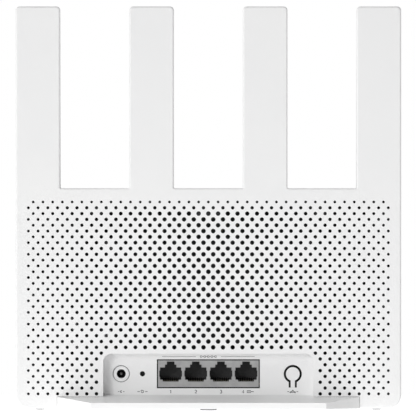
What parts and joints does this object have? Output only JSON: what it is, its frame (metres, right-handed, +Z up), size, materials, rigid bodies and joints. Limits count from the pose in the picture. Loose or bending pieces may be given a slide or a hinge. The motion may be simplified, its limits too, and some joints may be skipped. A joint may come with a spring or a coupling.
{
  "type": "wireless router",
  "caption": "Upright wireless router: a white perforated slab with flat blade antennas rising from it, a recessed port bay and a rear stand.",
  "frame": {"origin": "centre of the bounding box in plan, on the surface the rubber pads stand on", "axes": "+Z up, +Y to the rear where the ports are, +X to the side of the power inlet"},
  "size_m": [0.214, 0.062, 0.2239],
  "materials": {
    "shell": "fine satin moulded white plastic",
    "rubber": "matte grey rubber",
    "board": "black solder mask on glass-fibre board",
    "heat_sink": "black anodised, satin",
    "chip": "matte black moulding compound",
    "capacitor": "dark printed sleeve on an aluminium can",
    "shield_sheet": "tin-plated sheet",
    "jack_sheet": "nickel-plated sheet, dull",
    "thermal_pad": "soft silicone, matte",
    "brass_parts": "turned brass",
    "gold_contacts": "gold plated",
    "inlet_metal": "nickel plated",
    "black_plastic": "black moulded plastic",
    "screw_steel": "zinc plated",
    "light": "clear-topped light chip",
    "clear_plastic": "frosted clear acrylic",
    "antenna_board": "dark green board with copper traces",
    "cable": "black jacket"
  },
  "bodies": {
    "router": {"antenna_board_1": "antenna_board", "antenna_board_2": "antenna_board", "antenna_board_3": "antenna_board", "antenna_board_4": "antenna_board", "antenna_cable_1": "cable", "antenna_cable_2": "cable", "antenna_cable_3": "cable", "antenna_cable_4": "cable", "antenna_plugs": "gold_contacts", "board_screws": "screw_steel", "flash_chip": "chip", "front_cover": "shell", "heat_sink": "heat_sink", "left_foot_pad": "rubber", "light_guide": "clear_plastic", "line_transformers": "chip", "main_board": "board", "memory_chip": "chip", "mesh_switch_body": "black_plastic", "network_chip": "chip", "network_jack_contacts": "gold_contacts", "network_jack_housing": "black_plastic", "network_jack_shield": "jack_sheet", "power_capacitors": "capacitor", "power_inductors": "chip", "power_inlet_housing": "black_plastic", "power_inlet_pin": "inlet_metal", "power_inlet_spring": "inlet_metal", "processor": "chip", "processor_shield": "shield_sheet", "radio_chips": "chip", "radio_shield": "shield_sheet", "rear_cover": "shell", "rear_foot_pad": "rubber", "reset_switch_body": "black_plastic", "right_foot_pad": "rubber", "sink_pillars": "brass_parts", "sink_screws": "screw_steel", "stand": "shell", "stand_screws": "screw_steel", "status_lights": "light", "thermal_pads": "thermal_pad"},
    "mesh_button": {"mesh_button": "shell"},
    "mesh_plunger": {"mesh_switch_plunger": "black_plastic"},
    "reset_plunger": {"reset_plunger": "black_plastic"}
  },
  "joints": [
    {"name": "mesh_button_press", "type": "hinge", "parent": "router", "child": "mesh_button", "pos_m": [-0.0469, -0.0016, 0.0123], "axis": [1, 0, 0], "range_deg": [0, 3]},
    {"name": "mesh_switch_press", "type": "slide", "parent": "router", "child": "mesh_plunger", "axis": [0, -1, 0], "range_m": [0, 0.00039], "stiffness_N_per_m": 4000},
    {"name": "reset_press", "type": "slide", "parent": "router", "child": "reset_plunger", "axis": [0, -1, 0], "range_m": [0, 0.0003], "stiffness_N_per_m": 4000}
  ],
  "couplings": [
    {"joint": "mesh_button_press", "follows": "mesh_switch_press", "rad_per_m": 133.33}
  ]
}
